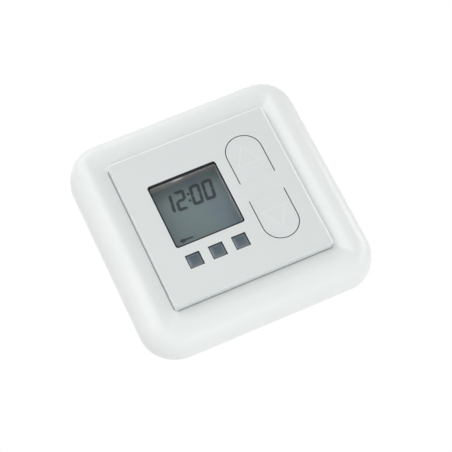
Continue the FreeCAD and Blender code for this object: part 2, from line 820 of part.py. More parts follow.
def make_insert_housing():
    """Pot with cut corners, a shoulder for the lid, posts for the board and a notch for the terminals."""
    pot = pot_slab(0, -pot_depth, ring_thickness)
    pot = pot.makeChamfer(pot_edge_round, edges_at(pot, -pot_depth, 0))
    pot = pot.cut(pot_slab(pot_wall, -lid_back, ring_thickness))
    pot = pot.cut(pot_slab(power_room, pot_floor - pot_depth, -lid_back))
    added = [pot]
    for side_x, side_z in corners:
        added.append(peg(side_x * pot_post_x, side_z * pot_post_z, -pot_depth + pot_floor / 2,
                         -power_board_back, pot_post_radius))
    for turn, reach in tab_sides:
        bump = block(reach - fit, reach + bump_reach, fit - tab_hole / 2, tab_hole / 2 - fit,
                     fit - tab_depth / 2 - tab_hole / 2, tab_hole / 2 - fit - tab_depth / 2)
        bump.rotate(FreeCAD.Vector(0, 0, 0), FreeCAD.Vector(0, 1, 0), -turn)
        added.append(bump)
    pot = together(added)
    for side_x, side_z in corners:
        pot = pot.cut(peg(side_x * pot_post_x, side_z * pot_post_z,
                          lid_screw_end - fit, -power_board_back, board_screw_radius))
    pot = pot.cut(block(-terminal_width / 2 - fit, terminal_width / 2 + fit,
                        terminal_bottom - fit, terminal_bottom + terminal_tall + fit,
                        -pot_depth - fit, terminal_depth - pot_depth + fit))
    for number in range(vent_count):
        vent_x = (number - (vent_count - 1) / 2) * vent_pitch
        pot = pot.cut(centred(vent_x, vent_z, vent_width, vent_length, -pot_depth, pot_floor - pot_depth))
    pieces["insert_housing"] = pot


def make_insert_lid():
    """Front cover of the housing with spacers onto the board, and the screws through them."""
    lid = pot_slab(pot_wall + slide_fit, -lid_back, -lid_depth)
    spacers = []
    screws = []
    for side_x, side_z in corners:
        x, z = side_x * pot_post_x, side_z * pot_post_z
        spacers.append(peg(x, z, -power_board_depth, fit - lid_back, pot_post_radius))
        head = peg(x, z, -lid_depth - board_screw_head, -lid_depth, board_screw_head_radius)
        head = head.cut(centred(x, z, 2 * board_screw_head_radius, drive_slot_width,
                                -lid_depth - drive_slot_depth, -lid_depth))
        shank = peg(x, z, lid_screw_end, -lid_depth - board_screw_head, board_screw_radius)
        screws.append(together([head, shank]))
    lid = together([lid] + spacers)
    for side_x, side_z in corners:
        x, z = side_x * pot_post_x, side_z * pot_post_z
        lid = lid.cut(peg(x, z, -power_board_depth, -lid_depth, board_screw_radius + fit))
        lid = lid.cut(peg(x, z, -lid_depth - board_screw_head, -lid_depth, board_screw_head_radius + fit))
    lid = lid.cut(centred(0, connector_z, 2 * (connector_half_x + fit), 2 * (connector_half_z + fit),
                          -lid_back, -lid_depth))
    pieces["insert_lid"] = lid
    pieces["lid_screws"] = group(screws)


def make_power_board():
    """Board in the housing with holes for the lid screws, the pins and the terminal tails."""
    board = pot_slab(power_inset, -power_board_back, -power_board_depth)
    for side_x, side_z in corners:
        board = board.cut(peg(side_x * pot_post_x, side_z * pot_post_z, -power_board_back,
                              -power_board_depth, board_screw_radius + fit))
    for x, z in pin_places():
        hole = pin_side + 2 * fit
        board = board.cut(centred(x, z, hole, hole, -power_board_back, -power_board_depth))
    for x in terminal_places:
        hole = tail_side + 2 * fit
        board = board.cut(centred(x, tail_z, hole, hole, -power_board_back, -power_board_depth))
    pieces["power_board"] = board


def make_power_parts():
    """Relays, capacitors, varistor, fuse, rectifier and choke behind the power board."""
    seat = -power_board_back
    for name, side in (("up_relay", 1), ("down_relay", -1)):
        relay = centred(side * relay_x, relay_z, relay_width, relay_length, seat - relay_height, seat)
        pieces[name] = relay.makeFillet(free, edges_at(relay, seat - relay_height, 0))
    pieces["mains_capacitor"] = centred(capacitor_x, 0, capacitor_width, capacitor_length,
                                        seat - capacitor_height, seat)
    pieces["smoothing_capacitor"] = peg(buffer_x, buffer_z, seat - buffer_height, seat, buffer_radius)
    start = at(varistor_x, varistor_z - varistor_thickness / 2, seat - varistor_radius)
    pieces["varistor"] = Part.makeCylinder(varistor_radius, varistor_thickness, start,
                                           FreeCAD.Vector(0, 0, 1))
    start = at(fuse_x - fuse_length / 2, fuse_z, seat - fuse_radius)
    pieces["fuse"] = Part.makeCylinder(fuse_radius, fuse_length, start, FreeCAD.Vector(1, 0, 0))
    pieces["bridge_rectifier"] = centred(rectifier_x, rectifier_z, rectifier_width, rectifier_length,
                                         seat - rectifier_height, seat)
    choke_back = seat - choke_height
    pieces["interference_choke"] = together([
        peg(choke_x, choke_z, choke_back, choke_back + choke_flange, choke_radius),
        peg(choke_x, choke_z, choke_back, seat, choke_radius - choke_waist),
        peg(choke_x, choke_z, seat - choke_flange, seat, choke_radius)])


def make_terminals():
    """Terminal block with wire entries at the back and screws underneath."""
    top = terminal_bottom + terminal_tall
    front = terminal_depth - pot_depth
    housing = block(-terminal_width / 2, terminal_width / 2, terminal_bottom, top, -pot_depth, front)
    mid_height = -terminal_mid_depth
    wire_z = terminal_bottom + entry_z
    clamp_low = mid_height - clamp_length / 2
    clamp_high = mid_height + clamp_length / 2
    clamp_bottom = wire_z - clamp_tall / 2
    down = FreeCAD.Vector(0, 0, -1)
    clamps = []
    screws = []
    for x in terminal_places:
        housing = housing.cut(centred(x, wire_z, entry_side, entry_side, -pot_depth, mid_height))
        housing = housing.cut(centred(x, wire_z, clamp_side + 2 * fit, clamp_tall + 2 * fit,
                                      clamp_low - fit, clamp_high + fit))
        well_top = at(x, terminal_bottom + well_depth, mid_height)
        housing = housing.cut(Part.makeCylinder(well_radius, well_depth, well_top, down))
        housing = housing.cut(centred(x, tail_z, tail_side + 2 * fit, tail_side + 2 * fit,
                                      clamp_high, front))
        clamp = centred(x, wire_z, clamp_side, clamp_tall, clamp_low, clamp_high)
        clamp = clamp.cut(centred(x, wire_z, clamp_side - 2 * clamp_wall, clamp_tall - 2 * clamp_wall,
                                  clamp_low, clamp_high))
        clamp = clamp.fuse(centred(x, tail_z, tail_side, tail_side, clamp_high - fit,
                                   pin_tail - power_board_depth))
        bore_top = at(x, clamp_bottom + clamp_wall, mid_height)
        clamp = clamp.cut(Part.makeCylinder(terminal_screw_radius + slide_fit, clamp_wall, bore_top, down))
        clamps.append(clamp.removeSplitter())
        head_top = at(x, clamp_bottom - slide_fit, mid_height)
        head = Part.makeCylinder(terminal_head_radius, terminal_head, head_top, down)
        head_face = clamp_bottom - slide_fit - terminal_head
        head = head.cut(block(x - terminal_head_radius, x + terminal_head_radius,
                              head_face, head_face + drive_slot_depth,
                              mid_height - drive_slot_width / 2, mid_height + drive_slot_width / 2))
        shank_top = at(x, clamp_bottom + 2 * clamp_wall, mid_height)
        shank = Part.makeCylinder(terminal_screw_radius, 2 * clamp_wall + 2 * slide_fit, shank_top, down)
        screws.append(together([head, shank]))
    pieces["terminal_block"] = housing
    pieces["terminal_clamps"] = group(clamps)
    pieces["terminal_screws"] = group(screws)


def main():
    make_cover_frame()
    make_cover_plate()
    make_keys()
    make_buttons()
    make_display()
    make_push_switches()
    make_control_board()
    make_control_parts()
    make_connector()
    make_module_back()
    make_support_ring()
    make_claws()
    make_insert_housing()
    make_insert_lid()
    make_power_board()
    make_power_parts()
    make_terminals()
    os.makedirs("parts", exist_ok=True)
    for name, shape in pieces.items():
        shape.exportStep("parts/" + name + ".step")
        print(name, len(shape.Solids), shape.isValid(), round(shape.Volume, 2))


main()
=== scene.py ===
import json
import math

import bmesh
import bpy
from mathutils import Matrix, Vector


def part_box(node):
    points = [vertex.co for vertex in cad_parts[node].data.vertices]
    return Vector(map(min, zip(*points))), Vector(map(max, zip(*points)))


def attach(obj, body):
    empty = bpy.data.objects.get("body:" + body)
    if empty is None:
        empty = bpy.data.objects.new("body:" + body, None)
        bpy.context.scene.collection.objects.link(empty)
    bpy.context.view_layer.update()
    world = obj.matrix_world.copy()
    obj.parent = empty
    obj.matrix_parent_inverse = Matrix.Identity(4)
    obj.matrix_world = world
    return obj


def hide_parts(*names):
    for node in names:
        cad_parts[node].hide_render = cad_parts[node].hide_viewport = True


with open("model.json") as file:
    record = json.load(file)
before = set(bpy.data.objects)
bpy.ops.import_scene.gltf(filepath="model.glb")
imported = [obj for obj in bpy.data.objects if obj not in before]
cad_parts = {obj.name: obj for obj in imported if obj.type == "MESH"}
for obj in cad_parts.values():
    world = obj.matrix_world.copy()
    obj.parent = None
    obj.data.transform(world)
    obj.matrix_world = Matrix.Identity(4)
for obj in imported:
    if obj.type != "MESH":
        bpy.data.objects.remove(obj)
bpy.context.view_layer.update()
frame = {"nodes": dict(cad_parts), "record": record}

# Lengths are in metres. The wall is the plane y = 0 and heights above it point to -y.
mm = 0.001

# Cover frame
frame_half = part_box("cover_frame")[1].x
frame_corner = 12.0 * mm
frame_wall = 2.2 * mm
frame_edge_height = 0.6 * mm
crest_height = -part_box("cover_frame")[0].y
crest_inset = 6.9 * mm
crest_corner = 3.2 * mm
facet_angle = math.radians(15)
facet_blend = 0.5 * mm
mitre_corner = 0.9 * mm
opening_half = 27.7 * mm
opening_corner = 1.5 * mm
opening_lip = 0.2 * mm
inner_wall = 2.4 * mm
ledge_half = 25.45 * mm
ledge_top = 2.6 * mm
ledge_bottom = -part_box("support_ring")[0].y
crest_steps = 4
bulge_steps = 16
rib_place = 15.0 * mm
rib_thickness = 0.9 * mm
rib_bottom = 1.5 * mm
rib_overlap = 0.6 * mm

# Control plate. Painted shade on the walls of its openings and slots begins a little behind its front.
plate_top = -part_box("cover_plate")[0].y
plate_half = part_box("cover_plate")[1].x
plate_face = 1.8 * mm
plate_round = 0.35 * mm
opening_shade_depth = 0.17 * mm
slot_shade_depth = 0.06 * mm

# Keys, the slots round them and the triangles raised on them
key_x = 15.23 * mm
key_z = 0.15 * mm
key_middle = 11.9 * mm
slot_reach = Vector((6.5 * mm, 0, 8.5 * mm))
triangle_base = 8.7 * mm
triangle_height = 7.5 * mm
triangle_half = 4.4 * mm
triangle_line = 0.55 * mm
triangle_relief = 0.12 * mm
ridge_slope = 0.32 * mm
ridge_sink = 0.01 * mm

# Setting buttons
switch_top = -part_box("left_plunger")[0].y
button_side = 4.6 * mm
button_top = -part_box("left_button")[0].y
button_flange_side = 6.0 * mm
button_play = 0.05 * mm
button_flange_top = plate_top - plate_face - button_play
button_flange_thickness = 1.0 * mm
button_stem_side = 2.6 * mm
button_corner = 0.45 * mm
button_round = 0.4 * mm
button_round_steps = 4
button_crown = 0.1 * mm
crown_shares = (0.75, 0.5, 0.25, 0.05)
crown_reach = 0.85
button_pitch = 8.0 * mm
button_row = Vector((-15.2 * mm, 0, -14.9 * mm))
# Reach of the painted shade round each button's opening in the plate
button_shade_reach = 0.3 * mm
# Shares of the button's side between which its painted highlight rim rises
highlight_rim_start = 0.24
highlight_rim_end = 0.46

# Display. The glint is a painted highlight on the bezel's upper wall, the sheen a painted bluish
# reflection on the ground, and the border round the pane is painted shade, wider at the top.
window_low, window_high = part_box("display_window")
glass_front = -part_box("display_glass")[0].y
window_half = 12.0 * mm
window_corner = 0.9 * mm
# Reach of the painted shade round the window's opening in the plate
window_shade_reach = 0.1 * mm
window_x = (window_low.x + window_high.x) / 2
window_z = (window_low.z + window_high.z) / 2
border_gap = 0.06 * mm
border_width = 0.4 * mm
border_top = 0.55 * mm
print_thickness = 0.02 * mm
bezel_step = 0.1 * mm
bezel_wall = 0.8 * mm
bezel_chamfer = 0.3 * mm
bezel_fade = 1.6 * mm
glint_left = window_x - 4.2 * mm
glint_right = window_x + 1.6 * mm
glint_fade = 2.6 * mm
glint_depth = 0.9 * mm
sheen_slant = 0.35
sheen_left = -4.0 * mm
sheen_middle = 1.5 * mm
sheen_right = 6.0 * mm
digit_low = 5.45 * mm
digit_height = 7.1 * mm
digit_width = 3.6 * mm
digit_stroke = 0.9 * mm
digit_gap = 0.06 * mm
digit_corner = 0.6 * mm
digit_slant = math.tan(math.radians(8.0))
digit_places = {"ten_hours": (-16.45 * mm, "bc"), "hours": (-11.95 * mm, "abged"),
                "ten_minutes": (-6.5 * mm, "abcdef"), "minutes": (-2.15 * mm, "abcdef")}
colon_place = -7.65 * mm
colon_side = 0.7 * mm
colon_levels = (0.28, 0.62)
arrow_place = Vector((-15.9 * mm, 0, -4.55 * mm))
arrow_length = 1.7 * mm
arrow_height = 1.3 * mm
arrow_dash = 2.6 * mm
arrow_stroke = 0.4 * mm
arrow_gap = 0.2 * mm
shadow_spread = 0.12 * mm
shadow_shift = Vector((0.12 * mm, 0, -0.2 * mm))

# Camera, fitted to the edges of the plate in a picture 452 pixels wide
camera_place = Vector((-0.1063, -0.5108, -0.2319))
camera_direction = Vector((0.1884, 0.8962, 0.4016))
camera_roll = math.radians(-26.95)
camera_lens = 139.3

# Surroundings
floor_height = -0.3
floor_size = 8.0
floor_near = 0.5
floor_far = 1.6
floor_glow = 0.25
floor_grain = 0.4
world_light = 0.46

# Each lamp's degrees to the right of the front, degrees above it, distance, side and power
lamps = {
    "front_lamp": (-18, 25, 1.0, 0.5, 1.5),
    "left_lamp": (-52, 12, 1.0, 0.5, 1.2),
    "upper_lamp": (-50, 55, 1.0, 0.5, 1.7),
    "top_lamp": (0, 80, 1.0, 0.5, 1.13),
    "side_lamp": (90, 10, 1.0, 0.5, 1.9),
    "lower_lamp": (-30, -35, 0.42, 0.2, 0.2),
    "right_lamp": (75, -20, 0.42, 0.2, 0.2),
    "bottom_lamp": (0, -78, 0.28, 0.15, 0.08),
    "back_lamp": (170, 25, 1.0, 0.5, 2.6)}

# The front's corners, anticlockwise from the upper right
corners = ((1, 1), (-1, 1), (-1, -1), (1, -1))
corner_steps = 14
weld_distance = 0.0001 * mm
smooth_angle = math.radians(28)
weave_scale = 900.0


def at(x, z, height):
    """The point at a place on the front and a height above the wall."""
    return Vector((x, -height, z))


def deselect():
    """Leaves nothing selected."""
    bpy.ops.object.select_all(action="DESELECT")


def mode(name):
    """Goes to edit mode or object mode."""
    bpy.ops.object.mode_set(mode=name)


def rounded(half_x, half_z, corner, height, centre=(0, 0)):
    """The points of a rectangle with round corners, parallel to the wall."""
    points = []
    for turn, (side_x, side_z) in enumerate(corners):
        mid_x = centre[0] + side_x * (half_x - corner)
        mid_z = centre[1] + side_z * (half_z - corner)
        for step in range(corner_steps + 1):
            angle = math.radians(90 * (turn + step / corner_steps))
            points.append(at(mid_x + corner * math.cos(angle), mid_z + corner * math.sin(angle), height))
    return points


def number_vertices(mesh):
    """Numbers a new outline's vertices in their order round it. Extruded copies keep the numbers."""
    edit = bmesh.from_edit_mesh(mesh)
    order = edit.verts.layers.int.new("order")
    for vertex in edit.verts:
        vertex[order] = vertex.index
    bmesh.update_edit_mesh(mesh)


def move_selected(mesh, points):
    """Moves each selected vertex to the point of its number."""
    edit = bmesh.from_edit_mesh(mesh)
    order = edit.verts.layers.int["order"]
    for vertex in edit.verts:
        if vertex.select:
            vertex.co = points[vertex[order]]
    bmesh.update_edit_mesh(mesh)


def outline(points, fill):
    """A new outline through the points, left in edit mode with all of it selected."""
    deselect()
    bpy.ops.mesh.primitive_circle_add(vertices=len(points), fill_type=fill)
    piece = bpy.context.object
    mode("EDIT")
    number_vertices(piece.data)
    move_selected(piece.data, points)
    return piece


def outwards(piece):
    """Turns all faces outwards, goes back to object mode and drops the vertices' numbers."""
    bpy.ops.mesh.select_all(action="SELECT")
    bpy.ops.mesh.normals_make_consistent(inside=False)
    mode("OBJECT")
    piece.data.attributes.remove(piece.data.attributes["order"])
    return piece


def prism(points, along):
    """A filled outline, extruded by a vector."""
    piece = outline(points, "NGON")
    bpy.ops.mesh.extrude_region_move(TRANSFORM_OT_translate={"value": along})
    return outwards(piece)


def loft(rings, closed):
    """A skin through rings of points, either closed from the last ring to the first or with two caps."""
    piece = outline(rings[0], "NOTHING")
    following = rings[1:] + rings[:1] if closed else rings[1:]
    for ring in following:
        bpy.ops.mesh.extrude_edges_move()
        move_selected(piece.data, ring)
    bpy.ops.mesh.select_all(action="SELECT")
    if closed:
        bpy.ops.mesh.remove_doubles(threshold=weld_distance)
    else:
        bpy.ops.mesh.fill_holes(sides=0)
    return outwards(piece)


def join(pieces):
    """Makes one piece of several."""
    deselect()
    for piece in pieces:
        piece.select_set(True)
    bpy.context.view_layer.objects.active = pieces[0]
    bpy.ops.object.join()
    return bpy.context.object


def settle(piece, name, body, slot, finish, *nodes):
    """Names a finished piece, lets it ride on its body and gives it its finish."""
    piece.name = name
    piece.data.name = name
    deselect()
    piece.select_set(True)
    bpy.context.view_layer.objects.active = piece
    bpy.ops.object.transform_apply(location=True, rotation=True, scale=True)
    bpy.ops.object.shade_smooth_by_angle(angle=smooth_angle)
    piece.data.materials.append(finish)
    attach(piece, body)
    if nodes:
        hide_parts(*nodes)


class Value:
    """A socket that numbers and other sockets are added to, multiplied with and compared to."""

    def __init__(self, shader, socket):
        self.shader = shader
        self.socket = socket

    def math(self, operation, first, second=0.0):
        """The value of a Math node."""
        return self.shader.node("Math", {"operation": operation}, {0: first, 1: second})

    def __add__(self, other):
        return self.math("ADD", self, other)

    def __radd__(self, other):
        return self.math("ADD", other, self)

    def __sub__(self, other):
        return self.math("SUBTRACT", self, other)

    def __rsub__(self, other):
        return self.math("SUBTRACT", other, self)

    def __mul__(self, other):
        return self.math("MULTIPLY", self, other)

    def __rmul__(self, other):
        return self.math("MULTIPLY", other, self)

    def __mod__(self, other):
        return self.math("FLOORED_MODULO", self, other)

    def __lt__(self, other):
        return self.math("LESS_THAN", self, other)

    def __gt__(self, other):
        return self.math("GREATER_THAN", self, other)

    def __abs__(self):
        return self.math("ABSOLUTE", self)

    def larger(self, other):
        """The larger of two values."""
        return self.math("MAXIMUM", self, other)


class Shader:
    """A material under construction, or the world around the object."""

    def __init__(self, name, holders=bpy.data.materials):
        self.material = holders.new(name)
        self.material.use_nodes = True
        self.tree = self.material.node_tree
        self.tree.nodes.clear()

    def node(self, kind, settings, sockets, output=0):
        """Adds a node, sets it up, fills or links its sockets and returns one of its outputs."""
        node = self.tree.nodes.new("ShaderNode" + kind)
        for name, value in settings.items():
            setattr(node, name, value)
        for name, value in sockets.items():
            if isinstance(value, Value):
                self.tree.links.new(value.socket, node.inputs[name])
            else:
                node.inputs[name].default_value = value
        return Value(self, node.outputs[output]) if node.outputs else None

    def place(self):
        """Where a point of the surface is, in the object's frame."""
        return self.node("TexCoord", {}, {}, "Object")

    def axes(self):
        """That place as three numbers."""
        parts = self.node("SeparateXYZ", {}, {"Vector": self.place()}, "X").socket.node.outputs
        return [Value(self, part) for part in parts]

    def noise(self, size, stretch=(1, 1, 1), detail=2.0):
        """Soft noise whose grains are about the given size."""
        scaled = self.node("Mapping", {}, {"Vector": self.place(), "Scale": stretch})
        return self.node("TexNoise", {}, {"Vector": scaled, "Scale": 1 / size, "Detail": detail}, "Fac")

    def steps(self, value, low, high):
        """Rises softly from 0 to 1 between two values."""
        return self.node("MapRange", {"interpolation_type": "SMOOTHSTEP"},
                         {"Value": value, "From Min": low, "From Max": high})

    def mix(self, share, first, second):
        """A colour between two colours."""
        ends = {6: colour4(first), 7: colour4(second)}
        return self.node("Mix", {"data_type": "RGBA"}, {0: share, **ends}, 2)

    def bump(self, height, depth, strength):
        """A surface direction that follows small heights, with the depth that a height of 1 has."""
        sockets = {"Strength": strength, "Distance": depth, "Height": height}
        return self.node("Bump", {}, sockets, "Normal")

    def surface(self, sockets):
        """Ends the material in a principled surface."""
        return self.end(self.node("BsdfPrincipled", {}, sockets))

    def end(self, shader, output="OutputMaterial"):
        """Ends the material, or the world, in the given shader."""
        self.node(output, {}, {"Surface": shader})
        return self.material

    def seen(self):
        """1 where the camera looks, directly, off gloss or through glass, and 0 for the light itself."""
        rays = self.node("LightPath", {}, {}).socket.node.outputs
        direct, gloss, glass = [Value(self, rays[f"Is {kind} Ray"])
                                for kind in ("Camera", "Glossy", "Transmission")]
        return direct.larger(gloss.larger(glass))


def colour4(colour):
    """A colour with its alpha, or the socket as it is."""
    return colour if isinstance(colour, Value) else (*colour, 1)


def shade(colour, factor):
    """The same colour, lighter or darker."""
    return tuple(part * factor for part in colour)


def moulded(name, colour, roughness, grain=0.35 * mm, depth=0.004 * mm, spread=0.02):
    """Moulded plastic: faint clouds in the colour, a fine grain and slightly uneven gloss."""
    shader = Shader(name)
    clouds = shader.noise(14 * mm)
    fine = shader.noise(grain, detail=3.0)
    base = shader.mix(clouds, shade(colour, 1 - spread), shade(colour, 1 + spread))
    return shader.surface({
        "Base Color": base,
        "Roughness": roughness - 0.03 + 0.06 * fine,
        "Normal": shader.bump(fine, depth, 0.6)})


def sheet_metal(name, colour, roughness, stretch):
    """Rolled or drawn metal: long streaks, small spangles and a few duller patches."""
    shader = Shader(name)
    streaks = shader.noise(1.2 * mm, stretch, detail=4.0)
    patches = shader.noise(3.5 * mm)
    base = shader.mix(patches, shade(colour, 0.82), shade(colour, 1.08))
    return shader.surface({
        "Base Color": base,
        "Metallic": 1.0,
        "Roughness": roughness - 0.08 + 0.12 * streaks + 0.06 * patches,
        "Normal": shader.bump(streaks, 0.006 * mm, 0.5)})


def off_button(x, z):
    """How far a place is from the middle of the nearest setting button, sideways or upwards."""
    half = button_pitch / 2
    along = (x - button_row.x + half) % button_pitch - half
    return abs(along).larger(abs(z - button_row.z))


def plate_plastic(name):
    """Satin white of plate and keys, with painted shade on the walls of openings and slots, and painted
    highlights on the raised triangles and the plate's top and right edges.
    """
    shader = Shader(name)
    clouds = shader.noise(16 * mm)
    fine = shader.noise(0.3 * mm, detail=3.0)
    x, y, z = shader.axes()
    reach = window_half + window_shade_reach
    at_window = (abs(x - window_x) < reach) * (abs(z - window_z) < reach)
    at_button = off_button(x, z) < button_side / 2 + button_shade_reach
    at_slot = (abs(x - key_x) < slot_reach.x) * (abs(abs(z - key_z) - key_middle) < slot_reach.z)
    # Painted shade: the walls of the window, the button openings and the key slots are near black a
    # little behind the front.
    opening_shade = (at_window + at_button) * (y > opening_shade_depth - plate_top)
    slot_shade = at_slot * (y > slot_shade_depth - plate_top)
    # Painted highlights: the raised triangles are paler, and the rounded top and right edges of the plate
    # are nearly white.
    raised = y < -plate_top - triangle_relief / 4
    white = shader.mix(clouds, (0.718, 0.752, 0.748), (0.738, 0.767, 0.763))
    edge = shader.steps(x.larger(z), plate_half - 2 * plate_round, plate_half - plate_round)
    light = shader.mix(edge, shader.mix(raised, white, (0.752, 0.782, 0.778)), (0.94, 0.95, 0.95))
    return shader.surface({
        "Base Color": shader.mix(opening_shade + slot_shade, light, (0.018, 0.018, 0.021)),
        "Roughness": 0.34 + 0.08 * fine,
        "Specular IOR Level": 0.45,
        "Normal": shader.bump(fine, 0.003 * mm, 0.6)})


def clear_pane(name):
    """Clear polished plastic that lets everything through but what its gloss throws back."""
    shader = Shader(name)
    inside = shader.node("NewGeometry", {}, {}, "Backfacing")
    gloss = shader.node("Fresnel", {}, {"IOR": 1.49}) * (1 - inside)
    through = shader.node("BsdfTransparent", {}, {"Color": (0.95, 0.97, 0.97, 1)})
    back = shader.node("BsdfAnisotropic", {}, {"Color": (1, 1, 1, 1), "Roughness": 0.04})
    return shader.end(shader.node("MixShader", {}, {0: gloss, 1: through, 2: back}))


def rim_plastic(name):
    """Dark brownish rim behind the pane, with painted light: a pale front edge that darkens deeper into
    the recess (painted shade, lighter on the left), a painted highlight streak above and a lighter grey
    right wall.
    """
    shader = Shader(name)
    fine = shader.noise(0.4 * mm)
    x, y, z = shader.axes()
    # Painted shade: pale at the front, darker deeper into the recess, less so on the left side.
    deep_shade = shader.steps(y, window_high.y - bezel_chamfer, window_high.y + bezel_fade)
    left = shader.steps(window_x - x, -window_half, window_half)
    # Painted light: the right wall, which faces the light, is lighter grey.
    side = x > window_x + window_half
    brown = shader.mix(deep_shade * (1 - 0.35 * left), (0.56, 0.50, 0.50), (0.19, 0.17, 0.175))
    # Painted highlight: a near-white streak on the upper wall just behind the front.
    after_left = shader.steps(x, glint_left, glint_left + glint_fade)
    before_right = 1 - shader.steps(x, glint_right - glint_fade, glint_right)
    in_front = 1 - shader.steps(y, window_high.y + glint_depth, window_high.y + 2 * glint_depth)
    glint = after_left * before_right * (z > window_z) * in_front
    dark = shader.mix(0.8 * side, brown, (0.42, 0.43, 0.45))
    return shader.surface({
        "Base Color": shader.mix(glint, dark, (0.98, 0.96, 0.96)),
        "Roughness": 0.40 + 0.06 * fine,
        "Normal": shader.bump(fine, 0.004 * mm, 0.6)})


def liquid_crystal(name):
    """Grey-green reflective display ground with a painted bluish reflection (sheen) towards its right
    side.
    """
    shader = Shader(name)
    x, z = shader.axes()[::2]
    fine = shader.noise(0.25 * mm)
    # Painted reflection: a bluish sheen in a slanting band right of the middle.
    across = x + sheen_slant * z
    rise = shader.steps(across, sheen_left, sheen_middle)
    right = rise * (1 - shader.steps(across, sheen_middle, sheen_right))
    green = shader.mix(fine, (0.150, 0.204, 0.214), (0.160, 0.213, 0.222))
    return shader.surface({
        "Base Color": shader.mix(0.8 * right, green, (0.135, 0.180, 0.230)),
        "Roughness": 0.32 + 0.05 * fine,
        "Coat Weight": 0.3,
        "Coat Roughness": 0.05})


def smoked(name):
    """Smoked blue-grey plastic of the setting buttons, with painted highlights on the rim and lower side
    and painted shade on the side walls.
    """
    shader = Shader(name)
    fine = shader.noise(0.4 * mm)
    clouds = shader.noise(3 * mm)
    x, y, z = shader.axes()
    # Painted highlights: a paler rim round the crown and a paler lower side. The clouds are the plastic's
    # own uneven tone.
    rim = shader.steps(off_button(x, z), button_side * highlight_rim_start, button_side * highlight_rim_end)
    lower_highlight = shader.steps(button_row.z - z, -button_side / 2, button_side / 2)
    painted_light = 0.45 * rim + 0.35 * lower_highlight + 0.25 * clouds
    smoke = shader.mix(painted_light, (0.020, 0.048, 0.074), (0.160, 0.190, 0.208))
    # Painted shade: the side walls are near black.
    wall = y > button_round - button_top
    return shader.surface({
        "Base Color": shader.mix(wall, smoke, (0.012, 0.015, 0.018)),
        "Roughness": 0.22 + 0.05 * fine,
        "Coat Weight": 0.3,
        "Coat Roughness": 0.06})


def printed(name, colour, cover=1.0):
    """A thin dark layer, such as the display's bars, whose cover lets some of the ground show through."""
    shader = Shader(name)
    fine = shader.noise(0.3 * mm)
    return shader.surface({
        "Base Color": shader.mix(fine, colour, shade(colour, 1.3)),
        "Roughness": 0.6,
        "Specular IOR Level": 0.15,
        "Alpha": cover})


def laminate(name):
    """Circuit board: green lacquer over a faint weave with lighter copper tracks under it."""
    shader = Shader(name)
    weave = shader.node("TexWave", {"bands_direction": "X"},
                        {"Vector": shader.place(), "Scale": weave_scale, "Distortion": 0.4}, "Fac")
    tracks = shader.steps(shader.noise(2.2 * mm, (1, 1, 3), 0.0), 0.50, 0.52)
    base = shader.mix(tracks, (0.020, 0.120, 0.050), (0.035, 0.185, 0.085))
    return shader.surface({
        "Base Color": base,
        "Roughness": 0.32 + 0.06 * weave,
        "Normal": shader.bump(tracks, 0.03 * mm, 0.5)})


finishes = {
    "frame_white": moulded("frame_white", (0.834, 0.862, 0.856), 0.30, depth=0.002 * mm, spread=0.008),
    "plate_white": plate_plastic("plate_white"),
    "button_grey": smoked("button_grey"),
    "clear_pane": clear_pane("clear_pane"),
    "bezel_grey": rim_plastic("bezel_grey"),
    "display_glass": liquid_crystal("display_glass"),
    "contact_rubber": moulded("contact_rubber", (0.55, 0.22, 0.22), 0.7),
    "switch_black": moulded("switch_black", (0.022, 0.022, 0.024), 0.45),
    "plunger_grey": moulded("plunger_grey", (0.30, 0.30, 0.31), 0.5),
    "board_green": laminate("board_green"),
    "steel": sheet_metal("steel", (0.62, 0.62, 0.60), 0.34, (1, 1, 6)),
    "ring_steel": sheet_metal("ring_steel", (0.56, 0.57, 0.58), 0.38, (1, 1, 5)),
    "brass": sheet_metal("brass", (0.72, 0.58, 0.32), 0.36, (1, 5, 1)),
    "shell_grey": moulded("shell_grey", (0.52, 0.53, 0.53), 0.5, grain=0.5 * mm, depth=0.01 * mm),
    "housing_grey": moulded("housing_grey", (0.20, 0.21, 0.215), 0.52, grain=0.5 * mm, depth=0.012 * mm),
    "relay_blue": moulded("relay_blue", (0.02, 0.07, 0.26), 0.42),
    "capacitor_yellow": moulded("capacitor_yellow", (0.62, 0.40, 0.05), 0.36),
    "part_black": moulded("part_black", (0.02, 0.02, 0.022), 0.3),
    "fuse_glass": moulded("fuse_glass", (0.72, 0.69, 0.62), 0.25),
    "terminal_grey": moulded("terminal_grey", (0.42, 0.43, 0.44), 0.48, grain=0.5 * mm, depth=0.01 * mm),
}


def dress_nodes():
    """Gives each carried-over node the finish of its slot in the record."""
    for entry in frame["record"]["subparts"]:
        node = frame["nodes"][entry["node"]]
        node.data.materials.clear()
        node.data.materials.append(finishes[entry["material_slot"]])


def bulge(turn, shrink):
    """One contour of the frame's bulge, from the crest at 0 to the edge at a quarter turn."""
    sine, cosine = math.sin(turn), math.cos(turn)
    half = frame_half - crest_inset + (crest_inset - shrink) * sine
    height = frame_edge_height + (crest_height - frame_edge_height - shrink) * cosine
    corner = crest_corner + (frame_corner - crest_corner) * max(sine, 0) - shrink * sine
    if sine < 0:
        corner = mitre_corner + (crest_corner - mitre_corner) * math.exp(sine * crest_inset / facet_blend)
    return half, corner, height


def frame_profile(shrink):
    """Contours from the opening's rim over the facet and the crest down to the outer edge."""
    slope = math.tan(facet_angle)
    start = -math.atan(crest_inset * slope / (crest_height - frame_edge_height))
    half, corner, height = bulge(start, shrink)
    rim = height - (half - opening_half) * slope
    crest = [bulge(start * step / crest_steps, shrink) for step in range(crest_steps - 1, 0, -1)]
    fall = [bulge(math.pi / 2 * step / bulge_steps, shrink) for step in range(bulge_steps + 1)]
    return rim, [(half, corner, height)] + crest + fall


